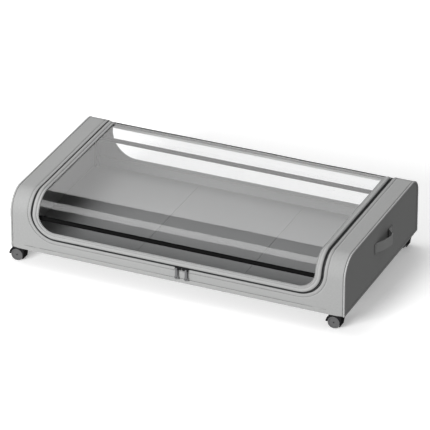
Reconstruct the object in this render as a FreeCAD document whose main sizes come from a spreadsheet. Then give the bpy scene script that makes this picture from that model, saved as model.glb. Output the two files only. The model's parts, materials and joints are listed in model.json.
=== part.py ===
"""Under-bed storage box on casters: a fabric case over boards, with a clear zipped cover.

Millimetres, +Z up, X along the length, front at -Y. The origin is on the floor under the
middle of the case. Every size comes from the spreadsheet "dims".
"""
import FreeCAD, Part
import math
import os
import Sketcher
from FreeCAD import Placement, Rotation, Vector

DIMENSIONS = [
    ("case_length", 800.0, "fabric case, end to end"),
    ("case_depth", 434.0, "fabric case, front to back"),
    ("case_height", 136.0, "fabric case, underside to top"),
    ("ground_gap", 36.0, "floor to the case's underside, under the casters"),
    ("front_curve", 50.0, "radius of the long top edge at the front"),
    ("rear_curve", 33.0, "radius of the long top edge at the back"),
    ("skin", 2.0, "outer fabric with its backing"),
    ("end_skin", 2.5, "fabric of an end panel"),
    ("seam", 4.0, "corner strip that the piping fills"),
    ("piping_radius", 2.2, "piping cord"),
    ("bottom_skin", 1.5, "fabric of the bottom panel"),
    ("board", 2.5, "stiffener board"),
    ("lining", 1.0, "inner fabric"),
    ("fold_x", 130.0, "middle to each fold line of the floor"),
    ("fold_gap", 2.0, "gap between two base boards"),
    ("wall_board_top", 27.5, "low wall boards, above the case's underside"),
    ("window_rim", 50.0, "end of the case to the window's cut edge"),
    ("window_sill", 36.0, "case's underside to the window's cut edge"),
    ("window_corner", 60.0, "radius of the window's lower corners"),
    ("tape_width", 10.0, "zip tape sewn behind each edge"),
    ("tape", 1.2, "zip tape thickness"),
    ("zip_line", 2.0, "window's cut edge to the middle of the zip"),
    ("zip_gap", 0.4, "gap between the two zip halves"),
    ("teeth_width", 1.6, "one half of the zip's coil"),
    ("binding_start", 4.4, "window's cut edge to the cover's binding"),
    ("binding_width", 15.6, "rolled binding along the cover's edge"),
    ("binding_proud", 2.6, "binding above the fabric's surface"),
    ("binding_below", 1.8, "binding below the fabric's surface"),
    ("sheet_top", 0.4, "clear sheet's outer face, below the fabric's surface"),
    ("sheet", 0.8, "clear sheet"),
    ("fold_slit", 0.4, "slit where the clear sheet bends"),
    ("rod_radius", 5.0, "frame rod, outside"),
    ("rod_bore", 4.0, "frame rod, inside"),
    ("rod_bend", 18.0, "frame rod's corner, on its centre line"),
    ("rod_height", 80.0, "case's underside to the rod's axis"),
    ("rod_inset", 14.0, "front or back of the case to the rod's axis"),
    ("leg_inset", 14.0, "end of the case to the axis of a rod's leg"),
    ("strap_width", 24.0, "handle webbing"),
    ("strap", 2.0, "handle webbing thickness"),
    ("strap_span", 80.0, "handle, between the two sewn ends"),
    ("strap_tab", 12.0, "sewn end of the handle"),
    ("strap_bulge", 15.0, "finger gap behind the handle"),
    ("strap_height", 80.0, "case's underside to the handle's middle"),
    ("strap_y", 8.0, "middle of the case to the handle's middle"),
    ("slider_left_x", 8.0, "left slider at rest"),
    ("slider_right_x", 25.0, "right slider at rest"),
    ("slider_length", 14.0, "slider along the zip"),
    ("slider_width", 7.6, "slider across the zip"),
    ("slider_plate", 2.2, "slider's top plate"),
    ("slider_lift", 1.0, "fabric's surface to the slider"),
    ("lug_inner", 2.3, "slider's middle to a lug"),
    ("lug", 1.2, "lug thickness"),
    ("lug_radius", 1.6, "rounded end of a lug"),
    ("pull_pin", 0.7, "radius of the slider's bridge pin"),
    ("pull_play", 0.05, "radial play of the pull on the pin"),
    ("pull_length", 21.0, "pin to the middle of the pull's ring end"),
    ("pull_ring", 4.5, "radius of the pull's ring end"),
    ("pull_hole", 1.9, "radius of the hole in the ring end"),
    ("pull_neck", 5.6, "width of the pull's shank"),
    ("pull", 1.4, "pull thickness"),
    ("caster_x", 381.0, "middle of the case to a caster's swivel axis"),
    ("caster_y", 198.0, "middle of the case to a caster's swivel axis"),
    ("caster_plate_side", 34.0, "square top plate"),
    ("caster_plate", 2.0, "top plate thickness"),
    ("rivet_spacing", 20.0, "rivets of a plate, hole to hole"),
    ("rivet_radius", 1.8, "rivet shank"),
    ("rivet_head", 3.2, "radius of a rivet head"),
    ("head_height", 1.2, "rivet head"),
    ("kingpin_radius", 3.0, "swivel pin"),
    ("kingpin_low", 27.3, "lower end of the swivel pin, above the floor"),
    ("running_play", 0.06, "radial play of the swivels and wheels"),
    ("trail", 9.0, "swivel axis to the axle"),
    ("wheel_radius", 14.0, "caster wheel"),
    ("wheel_width", 8.0, "caster wheel"),
    ("web_width", 7.0, "hood's middle web between the wheels"),
    ("web_radius", 11.5, "hood's middle web"),
    ("wheel_gap", 0.4, "wheel to web, and wheel to retaining head"),
    ("hood_gap", 0.7, "wheel tread to hood"),
    ("hood_wall", 4.0, "hood's arch"),
    ("boss_radius", 6.5, "hood's boss round the swivel pin"),
    ("boss_gap", 0.6, "boss to top plate"),
    ("tail_reach", 8.0, "swivel axis to the hood's nose"),
    ("tail_low", 5.0, "tip of the hood's tail, above the floor"),
    ("axle_radius", 1.5, "wheel axle"),
]

doc = FreeCAD.newDocument("under_bed_box")
dims = doc.addObject("Spreadsheet::Sheet", "dims")
for row, (alias, size, meaning) in enumerate(DIMENSIONS, start=1):
    dims.set(f"A{row}", meaning)
    dims.set(f"B{row}", str(size))
    dims.setAlias(f"B{row}", alias)
doc.recompute()

TOP = "dims.ground_gap + dims.case_height"
FLOOR_TOP = "dims.ground_gap + dims.bottom_skin + dims.board + dims.lining"
END_INNER = "dims.case_length / 2 - dims.seam"
NODES = []


def number(expression):
    """Value of an expression of the sheet, for a sketch's first guess."""
    value = dims.evalExpression(expression)
    return float(getattr(value, "Value", value))


def bind(thing, **expressions):
    """Bind properties of an object: dots in a property's path are written as two underscores."""
    for path, expression in expressions.items():
        thing.setExpression(path.replace("__", "."), expression)
    return thing


def node(thing, label):
    """Mark an object as a sub-part of the box."""
    thing.Label = label
    NODES.append(thing)
    return thing


# ---------------------------------------------------------------- building blocks

def box(name, low, size):
    """Part::Box with its low corner and its size given as expressions."""
    solid = doc.addObject("Part::Box", name)
    bind(solid, Length=size[0], Width=size[1], Height=size[2])
    return bind(solid, Placement__Base__x=low[0], Placement__Base__y=low[1],
                Placement__Base__z=low[2])


def cylinder(name, radius, height, base, direction=Vector(0, 0, 1)):
    """Part::Cylinder along a direction, from a base point given as expressions."""
    solid = doc.addObject("Part::Cylinder", name)
    solid.Placement = Placement(Vector(), Rotation(Vector(0, 0, 1), direction))
    bind(solid, Radius=radius, Height=height)
    return bind(solid, Placement__Base__x=base[0], Placement__Base__y=base[1],
                Placement__Base__z=base[2])


def cut(name, base, tool):
    result = doc.addObject("Part::Cut", name)
    result.Base = base
    result.Tool = tool
    return result


def common(name, first, second):
    result = doc.addObject("Part::Common", name)
    result.Base = first
    result.Tool = second
    return result


def fuse(name, *pieces):
    result = doc.addObject("Part::MultiFuse", name)
    result.Shapes = list(pieces)
    return result


def sketch_on(body, role, offset="0"):
    """New sketch on one of the body's own origin planes, moved along the plane's normal."""
    plane = next(p for p in body.Origin.OriginFeatures if p.Role == role)
    sketch = body.newObject("Sketcher::SketchObject", "Outline")
    sketch.AttachmentSupport = [(plane, "")]
    sketch.MapMode = "FlatFace"
    return bind(sketch, AttachmentOffset__Base__z=offset)


def constrain(sketch, kind, *args):
    """Add a constraint; an expression string as its last argument drives its value."""
    if isinstance(args[-1], str):
        index = sketch.addConstraint(Sketcher.Constraint(kind, *args[:-1], number(args[-1])))
        sketch.setExpression(f"Constraints[{index}]", args[-1])
    else:
        sketch.addConstraint(Sketcher.Constraint(kind, *args))


def line(sketch, start, end):
    return sketch.addGeometry(Part.LineSegment(Vector(*start, 0), Vector(*end, 0)))


def arc(sketch, centre, radius, start, end):
    """Arc from one angle to another, in degrees, anticlockwise."""
    circle = Part.Circle(Vector(*centre, 0), Vector(0, 0, 1), radius)
    return sketch.addGeometry(Part.ArcOfCircle(circle, math.radians(start), math.radians(end)))


def pad(body, sketch, length):
    """Pad a sketch evenly to both sides of its plane."""
    feature = body.newObject("PartDesign::Pad", "Pad")
    feature.Profile = sketch
    feature.Midplane = True
    return bind(feature, Length=length)


def case_outline(body, inset, floor, plane_x="0"):
    """The case's side outline, moved inward by `inset` and cut off level at height `floor`."""
    half = f"dims.case_depth / 2 - ({inset})"
    top = f"{TOP} - ({inset})"
    front = f"dims.front_curve - ({inset})"
    rear = f"dims.rear_curve - ({inset})"
    y, z, low, rf, rr = number(half), number(top), number(floor), number(front), number(rear)
    sketch = sketch_on(body, "YZ_Plane", plane_x)
    base = line(sketch, (-y, low), (y, low))
    back = line(sketch, (y, low), (y, z - rr))
    back_arc = arc(sketch, (y - rr, z - rr), rr, 0, 90)
    roof = line(sketch, (y - rr, z), (rf - y, z))
    front_arc = arc(sketch, (rf - y, z - rf), rf, 90, 180)
    face = line(sketch, (-y, z - rf), (-y, low))
    constrain(sketch, "Coincident", base, 2, back, 1)
    constrain(sketch, "Coincident", face, 2, base, 1)
    for first, second in ((back, back_arc), (back_arc, roof), (roof, front_arc), (front_arc, face)):
        constrain(sketch, "Tangent", first, 2, second, 1)
    constrain(sketch, "Horizontal", base)
    constrain(sketch, "Horizontal", roof)
    constrain(sketch, "Vertical", back)
    constrain(sketch, "Vertical", face)
    constrain(sketch, "Radius", back_arc, rear)
    constrain(sketch, "Radius", front_arc, front)
    constrain(sketch, "DistanceX", base, 1, -1, 1, half)
    constrain(sketch, "DistanceX", -1, 1, base, 2, half)
    constrain(sketch, "DistanceY", -1, 1, base, 1, floor)
    constrain(sketch, "DistanceY", -1, 1, roof, 1, top)
    return sketch


def case_slab(name, inset, floor, thickness, middle_x):
    """Upright plate with the case's side outline, centred on `middle_x`."""
    body = doc.addObject("PartDesign::Body", name)
    pad(body, case_outline(body, inset, floor, middle_x), thickness)
    return body


def case_skin(name, outer, inner):
    """Skin between two depths under the case's surface, full length, open below."""
    body = doc.addObject("PartDesign::Body", name)
    length = f"2 * ({END_INNER})"
    pad(body, case_outline(body, outer, "dims.ground_gap"), length)
    hollow = case_outline(body, inner, "dims.ground_gap - 5")
    pocket = body.newObject("PartDesign::Pocket", "Hollow")
    pocket.Profile = hollow
    pocket.Midplane = True
    bind(pocket, Length=f"{length} + 10")
    return body


def window_block(name, step):
    """Upright block through the case with the window's outline, moved inward by `step`."""
    half = f"dims.case_length / 2 - dims.window_rim - ({step})"
    sill = f"dims.ground_gap + dims.window_sill + ({step})"
    corner = f"dims.window_corner - ({step})"
    lid = f"{TOP} + 30"
    x, low, r, high = number(half), number(sill), number(corner), number(lid)
    body = doc.addObject("PartDesign::Body", name)
    sketch = sketch_on(body, "XZ_Plane")
    base = line(sketch, (r - x, low), (x - r, low))
    right_arc = arc(sketch, (x - r, low + r), r, -90, 0)
    right = line(sketch, (x, low + r), (x, high))
    top = line(sketch, (x, high), (-x, high))
    left = line(sketch, (-x, high), (-x, low + r))
    left_arc = arc(sketch, (r - x, low + r), r, 180, 270)
    for first, second in ((base, right_arc), (right_arc, right), (left, left_arc), (left_arc, base)):
        constrain(sketch, "Tangent", first, 2, second, 1)
    constrain(sketch, "Coincident", right, 2, top, 1)
    constrain(sketch, "Coincident", top, 2, left, 1)
    constrain(sketch, "Horizontal", base)
    constrain(sketch, "Horizontal", top)
    constrain(sketch, "Vertical", right)
    constrain(sketch, "Vertical", left)
    constrain(sketch, "Equal", right_arc, left_arc)
    constrain(sketch, "Radius", right_arc, corner)
    constrain(sketch, "DistanceX", top, 2, -1, 1, half)
    constrain(sketch, "DistanceX", -1, 1, top, 1, half)
    constrain(sketch, "DistanceY", -1, 1, base, 1, sill)
    constrain(sketch, "DistanceY", -1, 1, top, 1, lid)
    pad(body, sketch, "dims.case_depth + 60")
    return body


def window_band(name, skin, outside, inside):
    """Band of a skin between two window outlines."""
    return cut(name, common(f"{name}_wide", skin, outside), inside)


# ---------------------------------------------------------------- case: fabric and boards

window = window_block("window", "0")
surround_skin = case_skin("surround_skin", "0", "dims.skin")
node(cut("surround", surround_skin, window), "surround_panel")

SIDES = (("left", -1), ("right", 1))
for side, sign in SIDES:
    node(case_slab(f"end_panel_{side}", "dims.seam", "dims.ground_gap", "dims.end_skin",
                   f"{sign} * ({END_INNER} + dims.end_skin / 2)"), f"end_panel_{side}")
    node(case_slab(f"end_board_{side}", "dims.skin + 0.2", "dims.ground_gap + dims.bottom_skin",
                   "dims.board", f"{sign} * ({END_INNER} - dims.board / 2)"), f"end_board_{side}")
    node(case_slab(f"end_lining_{side}", "dims.skin + dims.tape + 0.4", FLOOR_TOP, "dims.lining",
                   f"{sign} * ({END_INNER} - dims.board - dims.lining / 2)"),
         f"end_lining_{side}")


def piping(side, sign):
    """Cord along the front, top and back edges of one end panel."""
    body = doc.addObject("PartDesign::Body", f"piping_{side}")
    middle_x = f"{sign} * ({END_INNER} + dims.piping_radius)"
    inset = "dims.seam - 0.1 - dims.piping_radius"
    half = f"dims.case_depth / 2 - ({inset})"
    top = f"{TOP} - ({inset})"
    front = f"dims.front_curve - ({inset})"
    rear = f"dims.rear_curve - ({inset})"
    y, z, rf, rr = number(half), number(top), number(front), number(rear)
    low = number("dims.ground_gap")
    path = sketch_on(body, "YZ_Plane", middle_x)
    face = line(path, (-y, low), (-y, z - rf))
    front_arc = arc(path, (rf - y, z - rf), rf, 90, 180)
    roof = line(path, (rf - y, z), (y - rr, z))
    back_arc = arc(path, (y - rr, z - rr), rr, 0, 90)
    back = line(path, (y, z - rr), (y, low))
    constrain(path, "Tangent", face, 2, front_arc, 2)
    constrain(path, "Tangent", front_arc, 1, roof, 1)
    constrain(path, "Tangent", roof, 2, back_arc, 2)
    constrain(path, "Tangent", back_arc, 1, back, 1)
    constrain(path, "Vertical", face)
    constrain(path, "Horizontal", roof)
    constrain(path, "Vertical", back)
    constrain(path, "Radius", front_arc, front)
    constrain(path, "Radius", back_arc, rear)
    constrain(path, "DistanceX", face, 1, -1, 1, half)
    constrain(path, "DistanceX", -1, 1, back, 2, half)
    constrain(path, "DistanceY", -1, 1, face, 1, "dims.ground_gap")
    constrain(path, "DistanceY", -1, 1, back, 2, "dims.ground_gap")
    constrain(path, "DistanceY", -1, 1, roof, 1, top)
    section = sketch_on(body, "XY_Plane", "dims.ground_gap")
    circle = section.addGeometry(Part.Circle(Vector(number(middle_x), -y, 0), Vector(0, 0, 1), 2))
    constrain(section, "Radius", circle, "dims.piping_radius")
    if sign < 0:
        constrain(section, "DistanceX", circle, 3, -1, 1, f"-({middle_x})")
    else:
        constrain(section, "DistanceX", -1, 1, circle, 3, middle_x)
    constrain(section, "DistanceY", circle, 3, -1, 1, half)
    cord = body.newObject("PartDesign::AdditivePipe", "Cord")
    cord.Profile = section
    cord.Spine = path
    return body


for side, sign in SIDES:
    node(piping(side, sign), f"piping_{side}")

inside_depth = "dims.case_depth - 2 * dims.skin"
holes = []
for caster_sign_x in (-1, 1):
    for caster_sign_y in (-1, 1):
        for step_x in (-1, 1):
            for step_y in (-1, 1):
                holes.append(cylinder(
                    "rivet_hole", "dims.rivet_radius", "dims.bottom_skin + dims.board",
                    (f"{caster_sign_x} * dims.caster_x + {step_x} * dims.rivet_spacing / 2",
                     f"{caster_sign_y} * dims.caster_y + {step_y} * dims.rivet_spacing / 2",
                     "dims.ground_gap")))
rivet_holes = fuse("rivet_holes", *holes)

bottom = box("bottom", (f"-({END_INNER})", f"-({inside_depth}) / 2", "dims.ground_gap"),
             (f"2 * ({END_INNER})", inside_depth, "dims.bottom_skin"))
node(cut("bottom_pierced", bottom, rivet_holes), "bottom_panel")

board_end = f"{END_INNER} - dims.board - 0.2"
board_depth = f"{inside_depth} - 2 * dims.board - 0.4"
board_low = "dims.ground_gap + dims.bottom_skin"
outer_width = f"{board_end} - dims.fold_x - dims.fold_gap / 2"
for side, low_x in (("left", f"-({board_end})"), ("right", "dims.fold_x + dims.fold_gap / 2")):
    board = box(f"board_{side}", (low_x, f"-({board_depth}) / 2", board_low),
                (outer_width, board_depth, "dims.board"))
    node(cut(f"board_{side}_pierced", board, rivet_holes), f"base_board_{side}")
node(box("board_centre", ("-(dims.fold_x - dims.fold_gap / 2)", f"-({board_depth}) / 2", board_low),
         ("2 * dims.fold_x - dims.fold_gap", board_depth, "dims.board")), "base_board_centre")

floor_depth = f"({board_depth} - 2 * dims.lining - 0.2)"
floor_sheet = box("floor_sheet", (f"-({board_end})", f"-{floor_depth} / 2",
                                  f"{board_low} + dims.board"),
                  (f"2 * ({board_end})", floor_depth, "dims.lining"))
grooves = fuse("grooves", *[
    box("groove", (f"{sign} * dims.fold_x - dims.fold_gap / 2", f"-({board_depth}) / 2",
                   f"{FLOOR_TOP} - dims.lining * 0.6"),
        ("dims.fold_gap", board_depth, "dims.lining")) for sign in (-1, 1)])
node(cut("floor_creased", floor_sheet, grooves), "floor_lining")

wall_top = "dims.wall_board_top - dims.bottom_skin"
for face, sign in (("front", -1), ("rear", 1)):
    board_y = f"{sign} * (dims.case_depth / 2 - dims.skin - dims.board / 2) - dims.board / 2"
    node(box(f"{face}_stiffener", (f"-({board_end} - dims.lining)", board_y, board_low),
             (f"2 * ({board_end} - dims.lining)", "dims.board", wall_top)), f"{face}_board")
    lining_y = (f"{sign} * (dims.case_depth / 2 - dims.skin - dims.board - 0.2 - dims.lining / 2)"
                " - dims.lining / 2")
    node(box(f"{face}_inner", (f"-({board_end} - dims.lining)", lining_y,
                              f"{board_low} + dims.board"),
             (f"2 * ({board_end} - dims.lining)", "dims.lining", f"{wall_top} - dims.board")),
         f"{face}_lining")


# ---------------------------------------------------------------- window: zip, cover, rear pane

REAR_BEND = "dims.case_depth / 2 - dims.rear_curve"
FRONT_BEND = "dims.front_curve - dims.case_depth / 2"


def slice_box(name, low_y, high_y):
    """Block across the whole case between two depths."""
    return box(name, ("-dims.case_length", low_y, "0"),
               ("2 * dims.case_length", f"({high_y}) - ({low_y})", "2 * dims.case_height"))


far_front = "-dims.case_depth"
far_rear = "dims.case_depth"
zip_reach = slice_box("zip_reach", far_front, f"{REAR_BEND} - dims.fold_slit / 2")
front_part = slice_box("front_part", far_front, f"{FRONT_BEND} - dims.fold_slit / 2")
top_part = slice_box("top_part", f"{FRONT_BEND} + dims.fold_slit / 2",
                     f"{REAR_BEND} - dims.fold_slit / 2")
rear_part = slice_box("rear_part", f"{REAR_BEND} + dims.fold_slit / 2", far_rear)
left_part = box("left_part", ("-dims.case_length", far_front, "0"),
                ("dims.case_length", "2 * dims.case_depth", "2 * dims.case_height"))
right_part = box("right_part", ("0", far_front, "0"),
                 ("dims.case_length", "2 * dims.case_depth", "2 * dims.case_height"))

case_half = window_block("case_half", "dims.zip_line - dims.zip_gap / 2")
cover_half = window_block("cover_half", "dims.zip_line + dims.zip_gap / 2")
tape_back = window_block("tape_back", "dims.zip_line - dims.tape_width")
tape_front = window_block("tape_front", "dims.zip_line + dims.tape_width")
coil_start = window_block("coil_start", "dims.zip_line - dims.teeth_width")
coil_end = window_block("coil_end", "dims.zip_line + dims.teeth_width")
binding_outside = window_block("binding_outside", "dims.binding_start")
binding_inside = window_block("binding_inside", "dims.binding_start + dims.binding_width")

tape_skin = case_skin("tape_skin", "dims.skin + 0.05", "dims.skin + dims.tape")
coil_skin = case_skin("coil_skin", "0.2", "dims.skin + 0.1")
binding_skin = case_skin("binding_skin", "-dims.binding_proud", "dims.binding_below")
clear_skin = case_skin("clear_skin", "dims.sheet_top", "dims.sheet_top + dims.sheet")

case_zip = fuse("case_zip", window_band("case_tape", tape_skin, tape_back, case_half),
                window_band("case_coil", coil_skin, coil_start, case_half))
node(common("case_zip_run", case_zip, zip_reach), "zip_half_case")

cover_zip = fuse("cover_zip", window_band("cover_tape", tape_skin, cover_half, tape_front),
                 window_band("cover_coil", coil_skin, cover_half, coil_end))
binding = window_band("binding", binding_skin, binding_outside, binding_inside)
for name, ring in (("zip_half", cover_zip), ("binding", binding)):
    node(common(f"{name}_front_run", ring, front_part), f"cover_{name}_front")
    ring_top = common(f"{name}_top_run", ring, top_part)
    node(common(f"{name}_left_run", ring_top, left_part), f"cover_{name}_left")
    node(common(f"{name}_right_run", ring_top, right_part), f"cover_{name}_right")

clear_pane = common("clear_pane", clear_skin, binding_inside)
node(common("front_pane", clear_pane, front_part), "cover_sheet_front")
node(common("top_pane", clear_pane, top_part), "cover_sheet_top")

# the rear pane is sewn inside the fabric, so it reaches past the window's edge
rear_skin = case_skin("rear_skin", "dims.skin + 0.05", "dims.skin + dims.sheet")
rear_wide = common("rear_wide", rear_skin, tape_back)
node(common("rear_pane", rear_wide, rear_part), "rear_window")


# ---------------------------------------------------------------- frame rods

def rod(face, sign):
    """Bent tube: a leg up from the floor, a run along the case, a leg down."""
    body = doc.addObject("PartDesign::Body", f"{face}_rod")
    middle_y = f"{sign} * (dims.case_depth / 2 - dims.rod_inset)"
    half = "dims.case_length / 2 - dims.leg_inset"
    high = "dims.ground_gap + dims.rod_height"
    foot = f"{FLOOR_TOP} + 0.1"
    x, top, low, bend = number(half), number(high), number(foot), number("dims.rod_bend")
    path = sketch_on(body, "XZ_Plane", f"-({middle_y})")
    left = line(path, (-x, low), (-x, top - bend))
    left_bend = arc(path, (bend - x, top - bend), bend, 90, 180)
    run = line(path, (bend - x, top), (x - bend, top))
    right_bend = arc(path, (x - bend, top - bend), bend, 0, 90)
    right = line(path, (x, top - bend), (x, low))
    constrain(path, "Tangent", left, 2, left_bend, 2)
    constrain(path, "Tangent", left_bend, 1, run, 1)
    constrain(path, "Tangent", run, 2, right_bend, 2)
    constrain(path, "Tangent", right_bend, 1, right, 1)
    constrain(path, "Vertical", left)
    constrain(path, "Horizontal", run)
    constrain(path, "Vertical", right)
    constrain(path, "Radius", left_bend, "dims.rod_bend")
    constrain(path, "Equal", left_bend, right_bend)
    constrain(path, "DistanceX", left, 1, -1, 1, half)
    constrain(path, "DistanceX", -1, 1, right, 2, half)
    constrain(path, "DistanceY", -1, 1, left, 1, foot)
    constrain(path, "DistanceY", -1, 1, right, 2, foot)
    constrain(path, "DistanceY", -1, 1, run, 1, high)
    section = sketch_on(body, "XY_Plane", foot)
    centre = Vector(-x, number(middle_y), 0)
    for radius in ("dims.rod_radius", "dims.rod_bore"):
        circle = section.addGeometry(Part.Circle(centre, Vector(0, 0, 1), number(radius)))
        constrain(section, "Radius", circle, radius)
        constrain(section, "DistanceX", circle, 3, -1, 1, half)
        if sign < 0:
            constrain(section, "DistanceY", circle, 3, -1, 1, f"-({middle_y})")
        else:
            constrain(section, "DistanceY", -1, 1, circle, 3, middle_y)
    tube = body.newObject("PartDesign::AdditivePipe", "Tube")
    tube.Profile = section
    tube.Spine = path
    return body


node(rod("front", -1), "front_rod")
node(rod("rear", 1), "rear_rod")


# ---------------------------------------------------------------- handles

def handle(side, sign):
    """Webbing strap: two sewn ends and a bowed middle, drawn from above."""
    body = doc.addObject("PartDesign::Body", f"handle_{side}")
    sketch = sketch_on(body, "XY_Plane", "dims.ground_gap + dims.strap_height")
    face = f"{END_INNER} + dims.end_skin"
    inner = "(pow(dims.strap_span / 2; 2) + pow(dims.strap_bulge; 2)) / (2 * dims.strap_bulge)"
    wall, span, thick = number(face), number("dims.strap_span / 2"), number("dims.strap")
    tab, bulge = number("dims.strap_tab"), number("dims.strap_bulge")
    middle, radius = number("dims.strap_y"), number(inner)
    centre = (sign * (wall + bulge - radius), middle)
    lean = math.degrees(math.asin(span / radius))
    lean_out = math.degrees(math.acos((radius - bulge + thick) / (radius + thick)))
    span_out = (radius + thick) * math.sin(math.radians(lean_out))
    facing = 0 if sign > 0 else 180
    near, far = sign * wall, sign * (wall + thick)
    lower, upper = middle - span - tab, middle + span + tab
    bow_in = arc(sketch, centre, radius, facing - lean, facing + lean)
    bow_out = arc(sketch, centre, radius + thick, facing - lean_out, facing + lean_out)
    first, last = (1, 2) if sign > 0 else (2, 1)
    low_in = line(sketch, (near, lower), (near, middle - span))
    high_in = line(sketch, (near, middle + span), (near, upper))
    high_end = line(sketch, (near, upper), (far, upper))
    high_out = line(sketch, (far, upper), (far, middle + span_out))
    low_out = line(sketch, (far, middle - span_out), (far, lower))
    low_end = line(sketch, (far, lower), (near, lower))
    for one, end, other, start in (
            (low_in, 2, bow_in, first), (bow_in, last, high_in, 1), (high_in, 2, high_end, 1),
            (high_end, 2, high_out, 1), (high_out, 2, bow_out, last), (bow_out, first, low_out, 1),
            (low_out, 2, low_end, 1), (low_end, 2, low_in, 1)):
        constrain(sketch, "Coincident", one, end, other, start)
    for upright in (low_in, high_in, high_out, low_out):
        constrain(sketch, "Vertical", upright)
    for level in (high_end, low_end):
        constrain(sketch, "Horizontal", level)
    constrain(sketch, "Radius", bow_in, inner)
    constrain(sketch, "Radius", bow_out, f"{inner} + dims.strap")
    constrain(sketch, "Coincident", bow_in, 3, bow_out, 3)
    if sign > 0:
        constrain(sketch, "DistanceX", -1, 1, low_in, 1, face)
        constrain(sketch, "DistanceX", low_in, 1, low_out, 2, "dims.strap")
    else:
        constrain(sketch, "DistanceX", low_in, 1, -1, 1, face)
        constrain(sketch, "DistanceX", low_out, 2, low_in, 1, "dims.strap")
    constrain(sketch, "DistanceX", high_in, 1, low_in, 2, "0 * dims.strap")
    constrain(sketch, "DistanceY", low_in, 2, high_in, 1, "dims.strap_span")
    constrain(sketch, "DistanceY", low_in, 1, low_in, 2, "dims.strap_tab")
    constrain(sketch, "DistanceY", high_in, 1, high_in, 2, "dims.strap_tab")
    constrain(sketch, "DistanceY", -1, 1, high_in, 1, "dims.strap_y + dims.strap_span / 2")
    pad(body, sketch, "dims.strap_width")
    return body


for side, sign in SIDES:
    node(handle(side, sign), f"handle_strap_{side}")


# ---------------------------------------------------------------- zip sliders and pulls

SLIDER_HIGH = "dims.ground_gap + dims.window_sill + dims.binding_start - 0.4"
PIN_Z = f"{SLIDER_HIGH} - dims.slider_width * 0.6"
PLATE_FACE = "-(dims.case_depth / 2 + dims.slider_lift + dims.slider_plate)"
PIN_Y = f"{PLATE_FACE} - dims.lug_radius - 0.3"

for side, rest_x, outward in (("left", "dims.slider_left_x", -1), ("right", "dims.slider_right_x", 1)):
    pin_x = f"{rest_x} + {outward} * 3"
    plate = box(f"slider_plate_{side}",
                (f"{rest_x} - dims.slider_length / 2", PLATE_FACE,
                 f"{SLIDER_HIGH} - dims.slider_width"),
                ("dims.slider_length", "dims.slider_plate", "dims.slider_width"))
    pieces = [plate]
    for lug_sign in (-1, 1):
        lug_low = f"{pin_x} + {lug_sign} * (dims.lug_inner + dims.lug / 2) - dims.lug / 2"
        pieces.append(cylinder("lug_end", "dims.lug_radius", "dims.lug", (lug_low, PIN_Y, PIN_Z),
                               Vector(1, 0, 0)))
        pieces.append(box("lug_root", (lug_low, PIN_Y, f"{PIN_Z} - dims.lug_radius"),
                          ("dims.lug", f"({PLATE_FACE}) - ({PIN_Y}) + 0.5",
                           "2 * dims.lug_radius")))
    pieces.append(cylinder("bridge_pin", "dims.pull_pin", "2 * dims.lug_inner + 0.2",
                           (f"{pin_x} - dims.lug_inner - 0.1", PIN_Y, PIN_Z), Vector(1, 0, 0)))
    node(fuse(f"slider_body_{side}", *pieces), f"zip_slider_{side}")

    eye_width = "2 * (dims.lug_inner - 0.3)"
    eye = cylinder(f"pull_eye_{side}", "dims.lug_radius", eye_width,
                   (f"{pin_x} - dims.lug_inner + 0.3", PIN_Y, PIN_Z), Vector(1, 0, 0))
    root = box(f"pull_root_{side}",
               (f"{pin_x} - dims.lug_inner + 0.3", f"{PIN_Y} - dims.pull / 2", f"{PIN_Z} - 4"),
               (eye_width, "dims.pull", "4"))
    shank = box(f"pull_shank_{side}",
                (f"{pin_x} - dims.pull_neck / 2", f"{PIN_Y} - dims.pull / 2",
                 f"{PIN_Z} - dims.pull_length"),
                ("dims.pull_neck", "dims.pull", "dims.pull_length - 3"))
    ring = cylinder(f"pull_ring_{side}", "dims.pull_ring", "dims.pull",
                    (pin_x, f"{PIN_Y} - dims.pull / 2", f"{PIN_Z} - dims.pull_length"),
                    Vector(0, 1, 0))
    solid = fuse(f"pull_solid_{side}", eye, root, shank, ring)
    bore = cylinder(f"pull_bore_{side}", "dims.pull_pin + dims.pull_play", "20",
                    (f"{pin_x} - 10", PIN_Y, PIN_Z), Vector(1, 0, 0))
    hole = cylinder(f"pull_hole_{side}", "dims.pull_hole", "20",
                    (pin_x, f"{PIN_Y} - 10", f"{PIN_Z} - dims.pull_length"), Vector(0, 1, 0))
    node(cut(f"pull_{side}", solid, fuse(f"pull_holes_{side}", bore, hole)), f"zip_pull_{side}")


# ---------------------------------------------------------------- casters

PLATE_LOW = "dims.ground_gap - dims.caster_plate"
HOOD_WIDTH = "dims.web_width + 2 * (dims.wheel_gap + dims.wheel_width)"


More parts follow.
